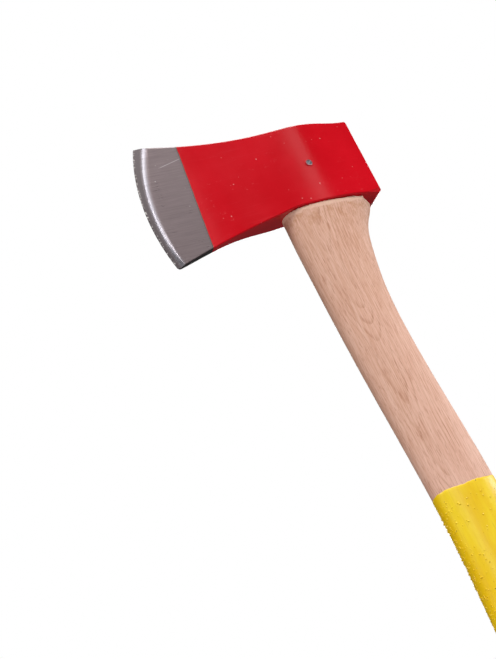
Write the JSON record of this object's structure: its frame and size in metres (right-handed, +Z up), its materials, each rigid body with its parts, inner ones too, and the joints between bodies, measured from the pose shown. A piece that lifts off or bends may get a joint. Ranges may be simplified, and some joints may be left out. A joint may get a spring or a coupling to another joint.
{
  "type": "fire axe",
  "caption": "Single-bit fire axe: red forged head with bare ground bit and flat poll, wooden haft wedged and pinned in the eye, yellow dipped grip.",
  "frame": {"origin": "middle of the eye in the plane of the head's underside, where the haft meets the head", "axes": "+Z up the haft towards the head's top, -X towards the cutting edge, +X out of the poll, +Y out of one cheek"},
  "size_m": [0.1988, 0.0356, 0.9121],
  "materials": {
    "red_paint": "gloss enamel over forged steel, the bit ground bare in front of a straight line",
    "haft_wood": "bare sanded hardwood with open pores",
    "yellow_coating": "glossy dipped coating over the wood grain",
    "wedge_wood": "rough sawn end grain",
    "bare_steel": "bare steel, dull"
  },
  "bodies": {
    "root": {"axe_head": "red_paint", "handle": "haft_wood", "grip_coating": "yellow_coating", "kerf_wedge": "wedge_wood", "cross_wedge_front": "bare_steel", "cross_wedge_rear": "bare_steel", "locking_pin": "bare_steel"}
  },
  "joints": []
}
